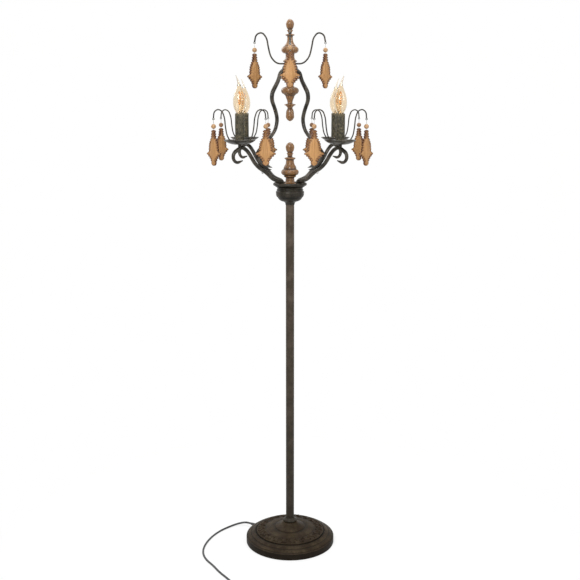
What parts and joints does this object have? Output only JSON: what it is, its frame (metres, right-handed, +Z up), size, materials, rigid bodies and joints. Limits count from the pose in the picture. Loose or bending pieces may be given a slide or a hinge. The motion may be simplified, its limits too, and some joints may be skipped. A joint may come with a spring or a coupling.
{
  "type": "candlestick floor lamp",
  "caption": "Floor lamp with a slim pole on a domed round base, candle lights on curved arms, a lyre cage above and carved pendants on looped wires.",
  "frame": {"origin": "middle of the round base, on the floor", "axes": "+Z up along the pole; -Y is the front, from which the picture looks; +X is the right in that view"},
  "size_m": [0.496, 0.5558, 1.575],
  "materials": {
    "base_felt": "felt",
    "weight_iron": "rough",
    "base_bronze": "satin, embossed",
    "pole_bronze": "satin",
    "frame_bronze": "satin, lightly worn",
    "sleeve_bronze": "speckled, dull",
    "turned_wood": "satin lacquer",
    "carved_wood": "waxed",
    "plain_steel": "plain",
    "wire_insulation": "matt",
    "socket_plastic": "matt",
    "cap_brass": "plain",
    "clear_glass": "clear",
    "filament_glass": "clear, with a fine filament",
    "cord_rubber": "matt",
    "button_plastic": "gloss"
  },
  "bodies": {
    "lamp": {"base_pad": "base_felt", "base_weight": "weight_iron", "base_cover": "base_bronze", "cord_strain_relief": "cord_rubber", "pole_foot_collar": "pole_bronze", "pole_lower": "pole_bronze", "pole_middle": "pole_bronze", "pole_upper": "pole_bronze", "threaded_tubes": "plain_steel", "locknuts": "plain_steel", "lyre_screws": "plain_steel", "crown_stud": "plain_steel", "inner_wiring": "wire_insulation", "hub_bowl": "frame_bronze", "hub_cover": "frame_bronze", "crown_cap": "frame_bronze", "wire_crown": "frame_bronze", "pan_wires": "frame_bronze", "candle_stems": "frame_bronze", "lower_finial": "turned_wood", "upper_finial": "turned_wood", "drop_finial": "turned_wood", "arm_front_left": "frame_bronze", "lyre_rod_front_left": "frame_bronze", "arm_front_right": "frame_bronze", "lyre_rod_front_right": "frame_bronze", "arm_back_left": "frame_bronze", "lyre_rod_back_left": "frame_bronze", "arm_back_right": "frame_bronze", "lyre_rod_back_right": "frame_bronze", "drip_pans": "frame_bronze", "candle_sleeves": "sleeve_bronze", "lamp_sockets": "socket_plastic", "bulb_caps": "cap_brass", "bulb_glass": "clear_glass", "bulb_filaments": "filament_glass", "cord_lead": "cord_rubber", "cord_tail": "cord_rubber", "cord_coil": "cord_rubber", "foot_switch_case": "cord_rubber", "plug": "cord_rubber"},
    "pendant_outer_front_left": {"pendant_outer_front_left": "carved_wood"},
    "pendant_inner_front_left": {"pendant_inner_front_left": "carved_wood"},
    "pendant_outer_front_right": {"pendant_outer_front_right": "carved_wood"},
    "pendant_inner_front_right": {"pendant_inner_front_right": "carved_wood"},
    "pendant_outer_back_left": {"pendant_outer_back_left": "carved_wood"},
    "pendant_inner_back_left": {"pendant_inner_back_left": "carved_wood"},
    "pendant_outer_back_right": {"pendant_outer_back_right": "carved_wood"},
    "pendant_inner_back_right": {"pendant_inner_back_right": "carved_wood"},
    "pendant_crown_left": {"pendant_crown_left": "carved_wood"},
    "pendant_crown_right": {"pendant_crown_right": "carved_wood"},
    "pendant_crown_front": {"pendant_crown_front": "carved_wood"},
    "pendant_crown_back": {"pendant_crown_back": "carved_wood"},
    "foot_switch_button": {"foot_switch_button": "button_plastic"}
  },
  "joints": [
    {"name": "pendant_outer_front_left_swing", "type": "hinge", "parent": "lamp", "child": "pendant_outer_front_left", "pos_m": [-0.20939, -0.13789, 1.2955], "axis": [0, 1, 0], "range_deg": [-12, 12]},
    {"name": "pendant_inner_front_left_swing", "type": "hinge", "parent": "lamp", "child": "pendant_inner_front_left", "pos_m": [-0.06639, -0.13789, 1.2955], "axis": [0, 1, 0], "range_deg": [-12, 12]},
    {"name": "pendant_outer_front_right_swing", "type": "hinge", "parent": "lamp", "child": "pendant_outer_front_right", "pos_m": [0.20939, -0.13789, 1.2955], "axis": [0, 1, 0], "range_deg": [-12, 12]},
    {"name": "pendant_inner_front_right_swing", "type": "hinge", "parent": "lamp", "child": "pendant_inner_front_right", "pos_m": [0.06639, -0.13789, 1.2955], "axis": [0, 1, 0], "range_deg": [-12, 12]},
    {"name": "pendant_outer_back_left_swing", "type": "hinge", "parent": "lamp", "child": "pendant_outer_back_left", "pos_m": [-0.20939, 0.13789, 1.2955], "axis": [0, 1, 0], "range_deg": [-12, 12]},
    {"name": "pendant_inner_back_left_swing", "type": "hinge", "parent": "lamp", "child": "pendant_inner_back_left", "pos_m": [-0.06639, 0.13789, 1.2955], "axis": [0, 1, 0], "range_deg": [-12, 12]},
    {"name": "pendant_outer_back_right_swing", "type": "hinge", "parent": "lamp", "child": "pendant_outer_back_right", "pos_m": [0.20939, 0.13789, 1.2955], "axis": [0, 1, 0], "range_deg": [-12, 12]},
    {"name": "pendant_inner_back_right_swing", "type": "hinge", "parent": "lamp", "child": "pendant_inner_back_right", "pos_m": [0.06639, 0.13789, 1.2955], "axis": [0, 1, 0], "range_deg": [-12, 12]},
    {"name": "pendant_crown_left_swing", "type": "hinge", "parent": "lamp", "child": "pendant_crown_left", "pos_m": [-0.101, 0, 1.5085], "axis": [0, 1, 0], "range_deg": [-15, 15]},
    {"name": "pendant_crown_right_swing", "type": "hinge", "parent": "lamp", "child": "pendant_crown_right", "pos_m": [0.101, 0, 1.5085], "axis": [0, 1, 0], "range_deg": [-15, 15]},
    {"name": "pendant_crown_front_swing", "type": "hinge", "parent": "lamp", "child": "pendant_crown_front", "pos_m": [0, -0.101, 1.5085], "axis": [1, 0, 0], "range_deg": [-15, 15]},
    {"name": "pendant_crown_back_swing", "type": "hinge", "parent": "lamp", "child": "pendant_crown_back", "pos_m": [0, 0.101, 1.5085], "axis": [1, 0, 0], "range_deg": [-15, 15]},
    {"name": "foot_switch_press", "type": "slide", "parent": "lamp", "child": "foot_switch_button", "axis": [0, 0, -1], "range_m": [0, 0.003], "stiffness_N_per_m": 600}
  ]
}
